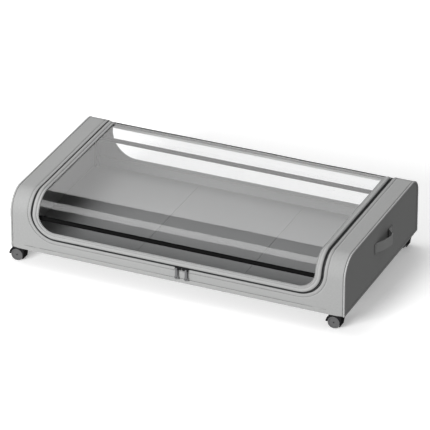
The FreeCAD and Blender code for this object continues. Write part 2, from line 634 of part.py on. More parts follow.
def hood_block(name):
    """Hood seen from the side: half an arch over the wheel, a square nose and a pointed tail."""
    radius = "dims.wheel_radius + dims.hood_gap + dims.hood_wall"
    r, axle, nose = number(radius), number("dims.wheel_radius"), number("dims.tail_reach")
    trail, tip = number("dims.trail"), number("dims.tail_low")
    body = doc.addObject("PartDesign::Body", name)
    sketch = sketch_on(body, "XZ_Plane")
    arch = arc(sketch, (-trail, axle), r, 90, 180)
    cheek = line(sketch, (-trail - r, axle), (0, axle))
    inner = line(sketch, (0, axle), (0, tip + 3))
    under = line(sketch, (0, tip + 3), (nose - 2.5, tip))
    edge = line(sketch, (nose - 2.5, tip), (nose, axle + 6))
    front = line(sketch, (nose, axle + 6), (nose, axle + r))
    roof = line(sketch, (nose, axle + r), (-trail, axle + r))
    loop = ((arch, 2, cheek, 1), (cheek, 2, inner, 1), (inner, 2, under, 1), (under, 2, edge, 1),
            (edge, 2, front, 1), (front, 2, roof, 1), (roof, 2, arch, 1))
    for joint in loop:
        constrain(sketch, "Coincident", *joint)
    constrain(sketch, "Horizontal", cheek)
    constrain(sketch, "Horizontal", roof)
    constrain(sketch, "Vertical", inner)
    constrain(sketch, "Vertical", front)
    constrain(sketch, "Radius", arch, radius)
    constrain(sketch, "PointOnObject", inner, 1, -2)
    constrain(sketch, "DistanceX", arch, 3, -1, 1, "dims.trail")
    constrain(sketch, "DistanceY", -1, 1, arch, 3, "dims.wheel_radius")
    constrain(sketch, "DistanceY", -1, 1, arch, 2, "dims.wheel_radius")
    constrain(sketch, "DistanceX", arch, 1, -1, 1, "dims.trail")
    constrain(sketch, "DistanceX", -1, 1, front, 1, "dims.tail_reach")
    constrain(sketch, "DistanceY", -1, 1, front, 1, "dims.wheel_radius + 6")
    constrain(sketch, "DistanceX", -1, 1, under, 2, "dims.tail_reach - 2.5")
    constrain(sketch, "DistanceY", -1, 1, under, 2, "dims.tail_low")
    constrain(sketch, "DistanceY", -1, 1, inner, 2, "dims.tail_low + 3")
    pad(body, sketch, HOOD_WIDTH)
    return body


def along_y(name, radius, length, x="-dims.trail"):
    """Cylinder across a caster, centred on its middle plane at axle height."""
    return cylinder(name, radius, length, (x, f"-({length}) / 2", "dims.wheel_radius"),
                    Vector(0, 1, 0))


def place(thing, x, y):
    return bind(thing, Placement__Base__x=x, Placement__Base__y=y)


def caster(corner, sign_x, sign_y):
    """One swivel caster: top plate with its pin, hood, axle and two wheels."""
    x, y = f"{sign_x} * dims.caster_x", f"{sign_y} * dims.caster_y"
    side = "dims.caster_plate_side"
    square = box(f"square_{corner}", (f"-{side} / 2", f"-{side} / 2", PLATE_LOW),
                 (side, side, "dims.caster_plate"))
    pin = cylinder(f"kingpin_{corner}", "dims.kingpin_radius", f"{PLATE_LOW} - dims.kingpin_low",
                   ("0", "0", "dims.kingpin_low"))
    pierce = fuse(f"pierce_{corner}", *[
        cylinder("plate_hole", "dims.rivet_radius", "dims.caster_plate",
                 (f"{i} * dims.rivet_spacing / 2", f"{j} * dims.rivet_spacing / 2", PLATE_LOW))
        for i in (-1, 1) for j in (-1, 1)])
    plate = cut(f"plate_{corner}", fuse(f"plate_pin_{corner}", square, pin), pierce)
    node(place(plate, x, y), f"caster_plate_{corner}")

    boss_top = f"{PLATE_LOW} - dims.boss_gap"
    boss = cylinder(f"boss_{corner}", "dims.boss_radius", f"{boss_top} - dims.wheel_radius",
                    ("0", "0", "dims.wheel_radius"))
    cavity = along_y(f"cavity_{corner}", "dims.wheel_radius + dims.hood_gap", "60")
    shell = cut(f"hood_shell_{corner}", fuse(f"hood_full_{corner}", hood_block(f"hood_{corner}_side"),
                                             boss), cavity)
    web = along_y(f"web_{corner}", "dims.web_radius", "dims.web_width")
    rib = box(f"rib_{corner}", ("-dims.trail - 6", "-dims.web_width / 2", "dims.wheel_radius"),
              ("dims.trail + 8", "dims.web_width", "dims.wheel_radius + dims.hood_gap + 1"))
    king_bore = cylinder(f"king_bore_{corner}", "dims.kingpin_radius + dims.running_play", "30",
                         ("0", "0", "dims.kingpin_low - 0.5"))
    axle_bore = along_y(f"axle_bore_{corner}", "dims.axle_radius", "60")
    hood = cut(f"hood_{corner}", fuse(f"hood_solid_{corner}", shell, web, rib),
               fuse(f"hood_bores_{corner}", king_bore, axle_bore))
    node(place(hood, x, y), f"caster_hood_{corner}")

    axle = along_y(f"axle_{corner}", "dims.axle_radius", HOOD_WIDTH, f"{x} - dims.trail")
    bind(axle, Placement__Base__y=f"{y} - ({HOOD_WIDTH}) / 2")
    node(axle, f"caster_axle_{corner}")
    for half, sign in (("outer", sign_y), ("inner", -sign_y)):
        disc = cylinder(f"disc_{half}_{corner}", "dims.wheel_radius", "dims.wheel_width",
                        ("-dims.trail", f"{sign} * (dims.web_width / 2 + dims.wheel_gap"
                         " + dims.wheel_width / 2) - dims.wheel_width / 2", "dims.wheel_radius"),
                        Vector(0, 1, 0))
        dish = cylinder(f"dish_{half}_{corner}", "dims.wheel_radius * 0.78", "1",
                        ("-dims.trail", f"{sign} * (dims.web_width / 2 + dims.wheel_gap"
                         " + dims.wheel_width - 0.5) - 0.5", "dims.wheel_radius"),
                        Vector(0, 1, 0))
        bore = along_y(f"wheel_bore_{half}_{corner}", "dims.axle_radius + dims.running_play", "60")
        wheel = cut(f"wheel_{half}_{corner}", disc, fuse(f"wheel_cuts_{half}_{corner}", dish, bore))
        node(place(wheel, x, y), f"caster_wheel_{half}_{corner}")


CORNERS = (("front_left", -1, -1), ("front_right", 1, -1), ("rear_left", -1, 1),
           ("rear_right", 1, 1))
rivets = []
for corner, sign_x, sign_y in CORNERS:
    caster(corner, sign_x, sign_y)
    for i in (-1, 1):
        for j in (-1, 1):
            x = f"{sign_x} * dims.caster_x + {i} * dims.rivet_spacing / 2"
            y = f"{sign_y} * dims.caster_y + {j} * dims.rivet_spacing / 2"
            head = cylinder("rivet_head", "dims.rivet_head", "dims.head_height",
                            (x, y, f"{PLATE_LOW} - dims.head_height"))
            shank = cylinder("rivet_shank", "dims.rivet_radius",
                             "dims.caster_plate + dims.bottom_skin + dims.board",
                             (x, y, PLATE_LOW))
            rivets.append(fuse("rivet", head, shank))
all_rivets = doc.addObject("Part::Compound", "all_rivets")
all_rivets.Links = rivets
node(all_rivets, "caster_rivets")


# ---------------------------------------------------------------- checks and export

doc.recompute()
for thing in doc.Objects:
    if "Invalid" in thing.State or "Error" in thing.State:
        raise RuntimeError(f"{thing.Label}: {thing.State}")
os.makedirs("parts", exist_ok=True)
for thing in NODES:
    shape = thing.Shape
    if shape.isNull() or not shape.isValid() or not shape.Solids:
        raise RuntimeError(f"{thing.Label} has no sound solid")
    shape.exportStep(f"parts/{thing.Label}.step")
print(len(NODES), "nodes")
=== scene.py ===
import json
import math

import bmesh
import bpy
import numpy as np
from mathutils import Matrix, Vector


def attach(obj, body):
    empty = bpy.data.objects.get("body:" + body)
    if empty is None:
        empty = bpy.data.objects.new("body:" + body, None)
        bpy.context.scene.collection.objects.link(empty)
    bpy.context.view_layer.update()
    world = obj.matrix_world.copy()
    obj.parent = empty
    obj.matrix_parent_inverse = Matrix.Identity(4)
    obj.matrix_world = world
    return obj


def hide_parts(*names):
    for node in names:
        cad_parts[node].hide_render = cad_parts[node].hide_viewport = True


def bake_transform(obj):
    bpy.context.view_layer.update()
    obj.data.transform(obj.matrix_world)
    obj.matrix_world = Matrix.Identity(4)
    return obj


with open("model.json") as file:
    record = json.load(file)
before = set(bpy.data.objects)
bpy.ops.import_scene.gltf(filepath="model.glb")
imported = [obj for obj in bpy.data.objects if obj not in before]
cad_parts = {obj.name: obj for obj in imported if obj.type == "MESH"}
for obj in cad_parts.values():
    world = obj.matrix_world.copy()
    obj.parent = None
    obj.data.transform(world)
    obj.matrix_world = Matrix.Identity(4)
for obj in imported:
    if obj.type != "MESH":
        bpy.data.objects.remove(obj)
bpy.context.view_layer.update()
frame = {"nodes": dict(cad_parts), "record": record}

# ---------------------------------------------------------------- sizes, in millimetres

# Pieces are laid out on the case's chart: x runs along the case, and s is the distance round its
# profile, up the front from the lower edge, over the top and down the back.

MM = 0.001
LOW, TOP = 36.0, 172.0            # underside and top of the fabric case
HALF_DEPTH = 217.0
FRONT_R, REAR_R = 50.0, 33.0      # long edges, front and back
SURROUND_X = 396.0                # the surround ends here, beside the piping
WINDOW_X, SILL, CORNER_R = 350.0, 72.0, 60.0
SKIN = 2.0
BINDING_START, BINDING_WIDTH, BINDING_PROUD = 5.0, 15.0, 3.4   # inwards of the window's edge
FLOOR_Z = 41.0
FLOOR_X, FLOOR_Y = 393.1, 211.1   # half sizes of the floor lining
FOLD_X = 130.0                    # the floor's two fold lines
WALL_TOP = 63.5
END_OUT, END_INSET = 398.2, 2.6   # outer face of an end panel, and its gap to the outline
LINING_OUT, LINING_INSET = 393.4, 6.2
SPLIT_Y = -100.0                  # the cover's front and rear pieces meet here; on the real cover the front half bends, its rear half doesn't

FRONT_FLAT = TOP - FRONT_R - LOW
FRONT_ARC = FRONT_R * math.pi / 2
TOP_START = FRONT_FLAT + FRONT_ARC
TOP_LENGTH = 2 * HALF_DEPTH - FRONT_R - REAR_R
TOP_END = TOP_START + TOP_LENGTH
REAR_ARC = REAR_R * math.pi / 2
ROUND = TOP_END + REAR_ARC + TOP - REAR_R - LOW
CORNER_X, CORNER_Z = WINDOW_X - CORNER_R, SILL + CORNER_R

rng = np.random.default_rng(7)
# wave numbers both ways, phase and strength of the waves that make up the cloth's unevenness
WAVES = [(rng.uniform(0.010, 0.032), rng.uniform(0.010, 0.032), rng.uniform(0, 6.28),
          rng.uniform(0.4, 1.0)) for _ in range(7)]


# ---------------------------------------------------------------- surface of the case

def s_front(z):
    """Distance up the case from its lower front edge, at a height on the front."""
    z = np.asarray(z, float)
    over = np.clip((z - (TOP - FRONT_R)) / FRONT_R, 0, 1)
    return np.where(over > 0, FRONT_FLAT + FRONT_R * np.arcsin(over), z - LOW)


def s_rear(z):
    """The same for a height on the back."""
    z = np.asarray(z, float)
    over = np.clip((z - (TOP - REAR_R)) / REAR_R, 0, 1)
    return ROUND - np.where(over > 0, TOP - REAR_R - LOW + REAR_R * np.arcsin(over), z - LOW)


def s_top(y):
    """Distance round the case to a depth on its flat top."""
    return TOP_START + y + HALF_DEPTH - FRONT_R


def skin(x, s, lift=0.0):
    """Point above or below the case's surface, x across and s round the profile."""
    x, s, lift = np.broadcast_arrays(*[np.asarray(v, float) for v in (x, s, lift)])
    a = np.clip((s - FRONT_FLAT) / FRONT_R, 0, math.pi / 2)
    b = np.clip((s - TOP_END) / REAR_R, 0, math.pi / 2)
    y = -HALF_DEPTH + FRONT_R * (1 - np.cos(a)) + np.clip(s - TOP_START, 0, TOP_LENGTH) \
        + REAR_R * np.sin(b)
    z = LOW + np.clip(s, None, FRONT_FLAT) + FRONT_R * np.sin(a) - REAR_R * (1 - np.cos(b)) \
        - np.clip(s - TOP_END - REAR_ARC, 0, None)
    normal_y = -np.cos(a) * (s < TOP_START) + np.sin(b)
    normal_z = np.sin(a) * (s < TOP_END) + np.cos(b) * (s >= TOP_END)
    return np.stack([x, y + normal_y * lift, z + normal_z * lift], axis=-1)


def ripple(a, b, size):
    """Soft unevenness of stretched cloth."""
    total = sum(w * np.sin(i * a + j * b + p) for i, j, p, w in WAVES)
    return size * total / 3.0


def arch(t):
    """One in the middle of a span from 0 to 1, falling to nothing at its ends."""
    return 1 - np.abs(2 * np.asarray(t) - 1) ** 3


# ---------------------------------------------------------------- meshes

def build(name, verts, faces, uvs=None):
    """Smooth piece from points in millimetres, with the cloth's chart as its UV map."""
    mesh = bpy.data.meshes.new(name)
    mesh.from_pydata((np.asarray(verts, float) * MM).tolist(), [], [list(f) for f in faces])
    if uvs is not None:
        layer = mesh.uv_layers.new(name="cloth")
        index = np.empty(len(mesh.loops), dtype=np.int32)
        mesh.loops.foreach_get("vertex_index", index)
        layer.data.foreach_set("uv", (np.asarray(uvs, float)[index] * MM).ravel())
    mesh.validate()
    piece = bpy.data.objects.new(name, mesh)
    bpy.context.scene.collection.objects.link(piece)
    mesh.shade_smooth()
    return piece


def loft(points, closed_u=False, closed_v=False, cap_u=False, cap_v=False):
    """Faces of a grid of points, rows u and columns v."""
    nu, nv = points.shape[:2]
    index = np.arange(nu * nv).reshape(nu, nv)
    rows = range(nu if closed_u else nu - 1)
    cols = range(nv if closed_v else nv - 1)
    faces = [(index[i, j], index[i, (j + 1) % nv], index[(i + 1) % nu, (j + 1) % nv],
              index[(i + 1) % nu, j]) for i in rows for j in cols]
    if cap_u:
        faces += [tuple(index[0, ::-1]), tuple(index[-1])]
    if cap_v:
        faces += [tuple(index[:, 0]), tuple(index[::-1, -1])]
    return faces


def solid(name, points, uvs, **how):
    """Closed piece from a grid of section points."""
    piece = build(name, points.reshape(-1, 3), loft(points, **how), uvs.reshape(-1, 2))
    mesh = piece.data
    work = bmesh.new()
    work.from_mesh(mesh)
    bmesh.ops.recalc_face_normals(work, faces=work.faces)
    work.to_mesh(mesh)
    work.free()
    mesh.shade_smooth()
    mesh.set_sharp_from_angle(angle=math.radians(60))
    return piece


def beads(name, centres, along, out, size, segments=6):
    """Row of short rounded threads or teeth: size is length, width, height."""
    centres, along, out = (np.asarray(v, float) for v in (centres, along, out))
    along /= np.linalg.norm(along, axis=1)[:, None]
    out /= np.linalg.norm(out, axis=1)[:, None]
    side = np.cross(along, out)
    rings = [(-0.5, 0.35), (-0.3, 1.0), (0.3, 1.0), (0.5, 0.35)]   # place and width
    verts, faces, shape = [], [], []
    for at, wide in rings:
        for k in range(segments):
            a = 2 * math.pi * k / segments
            shape.append((at * size[0], wide * math.cos(a) * size[1] / 2,
                          wide * math.sin(a) * size[2] / 2))
    shape = np.array(shape)
    local = []
    for r in range(len(rings) - 1):
        for k in range(segments):
            n = (k + 1) % segments
            local.append((r * segments + k, r * segments + n, (r + 1) * segments + n,
                          (r + 1) * segments + k))
    last = (len(rings) - 1) * segments
    local += [tuple(range(segments))[::-1], tuple(range(last, last + segments))]
    for i in range(len(centres)):
        base = len(verts)
        points = centres[i] + shape[:, :1] * along[i] + shape[:, 1:2] * side[i] \
            + shape[:, 2:] * out[i]
        verts.extend(points.tolist())
        faces.extend([tuple(base + v for v in f) for f in local])
    return build(name, verts, faces)


LOOK_AHEAD = 0.2


def even(path, pitch):
    """Points of a path at an even pitch, with the direction there."""
    path = np.asarray(path, float)
    step = np.linalg.norm(np.diff(path, axis=0), axis=1)
    run = np.concatenate([[0], np.cumsum(step)])
    count = max(2, int(run[-1] / pitch))
    at = (np.arange(count) + 0.5) * run[-1] / count
    here, ahead = (np.stack([np.interp(a, run, column) for column in path.T], axis=1)
                   for a in (at, at + LOOK_AHEAD))
    return here, ahead - here


# ---------------------------------------------------------------- materials

def material(name, color, rough=0.8, metal=0.0):
    mat = bpy.data.materials.new(name)
    mat.use_nodes = True
    shader = mat.node_tree.nodes["Principled BSDF"]
    shader.inputs["Base Color"].default_value = (*color, 1)
    shader.inputs["Roughness"].default_value = rough
    shader.inputs["Metallic"].default_value = metal
    return mat, shader


def uneven(mat, shader, color, spread, scale, vector, rough, rough_spread):
    """Slight mottling of colour and roughness."""
    nodes, links = mat.node_tree.nodes, mat.node_tree.links
    noise = nodes.new("ShaderNodeTexNoise")
    noise.inputs["Scale"].default_value = scale
    noise.inputs["Detail"].default_value = 4
    links.new(vector, noise.inputs["Vector"])
    ramp = nodes.new("ShaderNodeMapRange")
    ramp.inputs["To Min"].default_value = 1 - spread
    ramp.inputs["To Max"].default_value = 1 + spread
    links.new(noise.outputs["Fac"], ramp.inputs["Value"])
    tint = nodes.new("ShaderNodeVectorMath")
    tint.operation = "SCALE"
    tint.inputs[0].default_value = color
    links.new(ramp.outputs["Result"], tint.inputs["Scale"])
    links.new(tint.outputs["Vector"], shader.inputs["Base Color"])
    gloss = nodes.new("ShaderNodeMapRange")
    gloss.inputs["To Min"].default_value = rough - rough_spread
    gloss.inputs["To Max"].default_value = rough + rough_spread
    links.new(noise.outputs["Fac"], gloss.inputs["Value"])
    links.new(gloss.outputs["Result"], shader.inputs["Roughness"])


WAVE_PERIOD = 2 * math.pi / 20    # a wave texture of scale 1 repeats at this distance


def woven(name, color, thread=0.8, depth=0.12, spread=0.10, rough=0.82, rib=1.0):
    """Plain weave from two crossed sets of threads, drawn from the cloth's own chart."""
    mat, shader = material(name, color, rough)
    shader.inputs["Specular IOR Level"].default_value = 0.12
    shader.inputs["Sheen Weight"].default_value = 0.12
    nodes, links = mat.node_tree.nodes, mat.node_tree.links
    chart = nodes.new("ShaderNodeUVMap")
    chart.uv_map = "cloth"
    heights = []
    for axis, width in (("X", thread), ("Y", thread * rib)):
        wave = nodes.new("ShaderNodeTexWave")
        wave.bands_direction = axis
        wave.inputs["Scale"].default_value = WAVE_PERIOD / (width * MM)
        wave.inputs["Distortion"].default_value = 0.6
        links.new(chart.outputs["UV"], wave.inputs["Vector"])
        heights.append(wave)
    weave = nodes.new("ShaderNodeMath")
    weave.operation = "MULTIPLY"
    links.new(heights[0].outputs["Fac"], weave.inputs[0])
    links.new(heights[1].outputs["Fac"], weave.inputs[1])
    bump = nodes.new("ShaderNodeBump")
    bump.inputs["Strength"].default_value = 0.5
    bump.inputs["Distance"].default_value = depth * MM
    links.new(weave.outputs["Value"], bump.inputs["Height"])
    links.new(bump.outputs["Normal"], shader.inputs["Normal"])
    uneven(mat, shader, color, spread, 260.0, chart.outputs["UV"], rough, 0.05)
    return mat


def hard(name, color, rough, metal=0.0, scale=300.0, spread=0.06, grain=0.02, shine=0.5):
    """Moulded plastic or metal with a fine grain."""
    mat, shader = material(name, color, rough, metal)
    shader.inputs["Specular IOR Level"].default_value = shine
    nodes, links = mat.node_tree.nodes, mat.node_tree.links
    place = nodes.new("ShaderNodeTexCoord")
    uneven(mat, shader, color, spread, scale, place.outputs["Object"], rough, 0.06)
    grains = nodes.new("ShaderNodeTexNoise")
    grains.inputs["Scale"].default_value = scale * 8
    links.new(place.outputs["Object"], grains.inputs["Vector"])
    bump = nodes.new("ShaderNodeBump")
    bump.inputs["Strength"].default_value = 0.3
    bump.inputs["Distance"].default_value = grain * MM
    links.new(grains.outputs["Fac"], bump.inputs["Height"])
    links.new(bump.outputs["Normal"], shader.inputs["Normal"])
    return mat


def clear_vinyl(name):
    """Thin clear sheet: see-through, with a gloss from both faces that grows towards grazing."""
    mat = bpy.data.materials.new(name)
    mat.use_nodes = True
    nodes, links = mat.node_tree.nodes, mat.node_tree.links
    nodes.remove(nodes["Principled BSDF"])
    chart = nodes.new("ShaderNodeUVMap")
    chart.uv_map = "cloth"
    noise = nodes.new("ShaderNodeTexNoise")
    noise.inputs["Scale"].default_value = 5.0
    noise.inputs["Detail"].default_value = 1
    links.new(chart.outputs["UV"], noise.inputs["Vector"])
    bump = nodes.new("ShaderNodeBump")
    bump.inputs["Strength"].default_value = 0.2
    bump.inputs["Distance"].default_value = 0.4 * MM
    links.new(noise.outputs["Fac"], bump.inputs["Height"])
    see = nodes.new("ShaderNodeBsdfTransparent")
    see.inputs["Color"].default_value = (0.965, 0.968, 0.97, 1)
    gloss = nodes.new("ShaderNodeBsdfGlossy")
    gloss.inputs["Color"].default_value = (1, 1, 1, 1)
    gloss.inputs["Roughness"].default_value = 0.12
    links.new(bump.outputs["Normal"], gloss.inputs["Normal"])
    fresnel = nodes.new("ShaderNodeFresnel")
    fresnel.inputs["IOR"].default_value = 1.5
    faces = nodes.new("ShaderNodeMath")
    faces.operation = "MULTIPLY"
    faces.use_clamp = True
    faces.inputs[1].default_value = 1.7
    links.new(fresnel.outputs["Fac"], faces.inputs[0])
    mix = nodes.new("ShaderNodeMixShader")
    links.new(faces.outputs["Value"], mix.inputs["Fac"])
    links.new(see.outputs["BSDF"], mix.inputs[1])
    links.new(gloss.outputs["BSDF"], mix.inputs[2])
    links.new(mix.outputs["Shader"], nodes["Material Output"].inputs["Surface"])
    return mat


GREY = (0.285, 0.287, 0.285)
MATS = {
    "case_fabric": woven("case cloth", GREY, 0.8),
    "end_fabric": woven("end cloth", (0.28, 0.282, 0.28), 0.8),
    "lining_fabric": woven("lining cloth", (0.25, 0.252, 0.252), 1.1, 0.15),
    # The walls' lining is the floor's lining cloth painted lighter: a lit copy that stands in for
    # light the shaded walls don't get.
    "wall_lining_painted_lighter": woven("wall lining cloth painted lighter", (0.33, 0.332, 0.332), 1.1, 0.15),
    "piping_fabric": woven("piping cloth", (0.36, 0.362, 0.36), 0.7),
    "binding_fabric": woven("binding tape", (0.30, 0.302, 0.30), 0.7),
    "webbing": woven("webbing", (0.36, 0.362, 0.36), 1.6, 0.35, 0.06, 0.8, 2.0),
    "zip_tape": woven("zip tape", (0.035, 0.036, 0.037), 0.6, 0.1),
    # Thread: slightly darker than the cloth, and darkened further to near black as painted shade of
    # the grooves that the stitches pull.
    "thread": woven("thread", (0.06, 0.061, 0.06), 0.3, 0.05),
    "clear_sheet": clear_vinyl("clear vinyl"),
    "coil": hard("zip coil", (0.03, 0.031, 0.032), 0.45),
    "board": hard("board", (0.5, 0.49, 0.46), 0.8),
    "rod_black": hard("rod coating", (0.006, 0.006, 0.006), 0.6, shine=0.08),
    "slider_metal": hard("painted slider", (0.03, 0.03, 0.031), 0.32, 0.5),
    "pull_metal": hard("gunmetal pull", (0.17, 0.17, 0.175), 0.34, 0.25),
    "caster_steel": hard("zinc plate", (0.55, 0.55, 0.56), 0.35, 1.0),
    "caster_black": hard("hood plastic", (0.012, 0.012, 0.013), 0.38),
    "wheel_grey": hard("wheel plastic", (0.10, 0.10, 0.102), 0.5),
}


def wear(piece, mat):
    """Give a piece its material."""
    piece.data.materials.clear()
    piece.data.materials.append(MATS[mat])
    return piece


# ---------------------------------------------------------------- fabric surround

# A section starts at the window's edge: SECTION_D holds distances from that edge, and OUTER_T the
# shares of what is left up to the case's edge. The two PLAY lists say how freely each may ripple.
SECTION_D = [0.4, 0.8, 1.6, 3.0, 5.0, 6.6, 7.3, 8.0, 8.7, 9.4, 11.5, 14.0]
OUTER_T = [0.12, 0.25, 0.38, 0.48, 0.515, 0.545, 0.575, 0.62, 0.72, 0.82, 0.90, 0.94, 0.962,
           0.982, 1.0]
SECTION_PLAY = [0, 0, 0.05, 0.15, 0.3, 0.45, 0.5, 0.5, 0.5, 0.6, 0.8, 1.0]
OUTER_PLAY = [1, 1, 1, 1, 1, 1, 1, 0.9, 0.8, 0.6, 0.3, 0.1, 0, 0, 0]
TURN_IN = (-1.1, -0.6, -0.2, -0.05)   # lift of the first points, where the edge rolls in
HEM = 10.0                        # sewn row above the lower edge
ROW_D = 8.0                       # sewn row beside the window
DENT, DENT_WIDTH = 0.9, 1.2       # groove that a sewn row pulls into the cloth
SEAM_DIP, SEAM_WIDTH = 2.6, 1.9   # the cloth turns in where it meets the piping
SIDE_STEPS, TURN_STEPS, SILL_STEPS = 34, 14, 70


def rim_row(kind, value, sign, rear=False):
    """One section of the surround: chart points from the window's edge to the case's edge."""
    s_of = s_rear if rear else s_front
    if kind == "side":
        near = [(sign * (WINDOW_X + d), value) for d in SECTION_D]
        far = (sign * SURROUND_X, value)
    elif kind == "corner":
        dx, dz = math.sin(value), -math.cos(value)
        near = [(sign * (CORNER_X + (CORNER_R + d) * dx),
                 float(s_of(CORNER_Z + (CORNER_R + d) * dz))) for d in SECTION_D]
        reach = min((SURROUND_X - CORNER_X) / max(dx, 1e-6),
                    (CORNER_Z - LOW) / max(-dz, 1e-6))
        far = (sign * (CORNER_X + reach * dx), float(s_of(CORNER_Z + reach * dz)))
    else:
        near = [(value, float(s_of(SILL - d))) for d in SECTION_D]
        far = (value, float(s_of(LOW)))
    last = np.array(near[-1])
    rest = [tuple(last + (np.array(far) - last) * t) for t in OUTER_T]
    return np.array(near + rest)


def rim_rows(rear, s_split):
    """Sections along a U: down one side, along the sill and up the other side."""
    s_corner = float((s_rear if rear else s_front)(CORNER_Z))
    meet = math.atan2(SURROUND_X - CORNER_X, CORNER_Z - LOW)
    turn = np.unique(np.concatenate([np.linspace(0, meet, TURN_STEPS),
                                     np.linspace(meet, math.pi / 2, TURN_STEPS)]))
    down = np.linspace(s_split, s_corner, SIDE_STEPS)[:-1]
    across = np.linspace(-CORNER_X, CORNER_X, SILL_STEPS)[1:-1]
    up = np.linspace(s_corner, s_split, SIDE_STEPS)[1:]
    rows = [rim_row("side", s, -1, rear) for s in down]
    rows += [rim_row("corner", a, -1, rear) for a in turn[::-1]]
    rows += [rim_row("sill", x, 1, rear) for x in across]
    rows += [rim_row("corner", a, 1, rear) for a in turn]
    rows += [rim_row("side", s, 1, rear) for s in up]
    return np.array(rows)


def cloth_band(name, rows):
    """Closed band of cloth with a turned edge, from rows of chart points."""
    x, s = rows[..., 0], rows[..., 1]
    lift = ripple(x, s, 0.55) * np.array(SECTION_PLAY + OUTER_PLAY)
    beyond = 99.0                 # the outer points lie clear of the row beside the window
    spread = np.array(SECTION_D + [beyond] * len(OUTER_T))
    lift = lift - DENT * np.exp(-((spread - ROW_D) / DENT_WIDTH) ** 2)
    low = np.minimum(s, ROUND - s)
    lift = lift - DENT * np.exp(-((low - HEM) / DENT_WIDTH) ** 2) * (spread == beyond)
    seam = np.clip((np.abs(x) - SURROUND_X + SEAM_WIDTH) / SEAM_WIDTH, 0, 1)
    lift = lift - SEAM_DIP * seam ** 1.5
    lift[:, :len(TURN_IN)] = TURN_IN
    outer = skin(x, s, lift)
    edge = skin(x[:, :1], s[:, :1], -SKIN + 0.3)
    inner = skin(x[:, 1:], s[:, 1:], lift[:, 1:] * 0.3 - SKIN)[:, ::-1]
    points = np.concatenate([edge, outer, inner], axis=1)
    chart = np.concatenate([rows[:, :1], rows, rows[:, 1:][:, ::-1]], axis=1)
    return solid(name, points, chart, closed_v=True, cap_u=True)


SPLIT_FRONT, SPLIT_REAR = TOP_START + 2.0, TOP_END - 2.5
SIDES = (("left", -1), ("right", 1))
surround_front = cloth_band("surround_front", rim_rows(False, SPLIT_FRONT))
surround_rear = cloth_band("surround_rear", rim_rows(True, SPLIT_REAR))
bands = []
for side, sign in SIDES:
    rows = np.array([rim_row("side", s, sign) for s in np.linspace(SPLIT_FRONT, SPLIT_REAR, 80)])
    bands.append(cloth_band(f"surround_{side}", rows))


surround = [surround_front, surround_rear, *bands]
for piece in surround:
    wear(piece, "case_fabric")
    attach(piece, "case")
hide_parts("surround_panel")


# ---------------------------------------------------------------- stitching

STITCH_PITCH, STITCH_SIZE = 4.0, (3.0, 1.0, 0.7)
STITCH_LIFT = -DENT + 0.15        # stitches lie in the groove that they pull
HEM_END = SURROUND_X - 3


def sew(name, path, lift, body=None):
    """Row of stitches along a path of chart points."""
    points, ahead = even(path, STITCH_PITCH)
    centre = skin(points[:, 0], points[:, 1], lift)
    tip = skin(points[:, 0] + ahead[:, 0], points[:, 1] + ahead[:, 1], lift)
    above = skin(points[:, 0], points[:, 1], lift + 1)
    piece = beads(name, centre, tip - centre, above - centre, STITCH_SIZE)
    wear(piece, "thread")
    if body:
        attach(piece, body)
    return piece


def edge_path(inset, s_end, rear=False):
    """Chart path parallel to the window's edge; a positive inset lies inside the window."""
    s_of = s_rear if rear else s_front
    s_corner = float(s_of(CORNER_Z))
    r, x = CORNER_R - inset, WINDOW_X - inset
    angles = np.linspace(math.pi / 2, 0, 40)
    count = max(2, int(abs(s_end - s_corner) / 2))
    left = [(-x, s) for s in np.linspace(s_end, s_corner, count)]
    turn = [(-(CORNER_X + r * math.sin(a)), float(s_of(CORNER_Z - r * math.cos(a))))
            for a in angles]
    sill = [(v, float(s_of(SILL + inset))) for v in np.linspace(-CORNER_X, CORNER_X, 200)[1:-1]]
    back = [(-p[0], p[1]) for p in turn[::-1]]
    right = [(x, s) for s in np.linspace(s_corner, s_end, count)]
    return np.array(left[:-1] + turn + sill + back + right[1:])


sew("stitches_front", edge_path(-ROW_D, SPLIT_FRONT), STITCH_LIFT, "case")
sew("stitches_rear", edge_path(-ROW_D, SPLIT_REAR, rear=True), STITCH_LIFT, "case")
for side, sign in SIDES:
    sew(f"stitches_{side}", [(sign * (WINDOW_X + ROW_D), SPLIT_FRONT),
                             (sign * (WINDOW_X + ROW_D), SPLIT_REAR)], STITCH_LIFT, "case")
sew("stitches_hem_front", [(-HEM_END, HEM), (HEM_END, HEM)], STITCH_LIFT, "case")
sew("stitches_hem_rear", [(-HEM_END, ROUND - HEM), (HEM_END, ROUND - HEM)], STITCH_LIFT, "case")


# ---------------------------------------------------------------- end panels and linings

def profile(inset):
    """Closed outline of the case seen from an end, counted from the lower front corner."""
    s = np.concatenate([np.linspace(0, FRONT_FLAT, 18)[:-1],
                        np.linspace(FRONT_FLAT, TOP_START, 22)[:-1],
                        np.linspace(TOP_START, TOP_END, 60)[:-1],
                        np.linspace(TOP_END, TOP_END + REAR_ARC, 18)[:-1],
                        np.linspace(TOP_END + REAR_ARC, ROUND, 18)])
    line = skin(0, s, -inset)[:, 1:]
    line[:, 1] = np.maximum(line[:, 1], LOW + inset)
    low_y = np.linspace(line[-1, 0], line[0, 0], 60)[1:-1]
    low = np.stack([low_y, np.full(len(low_y), LOW + inset)], axis=1)
    return np.concatenate([line, low])


RIM_FROM, RIM_DROP = 0.975, 1.1   # an outer end panel turns in at its rim, under the piping


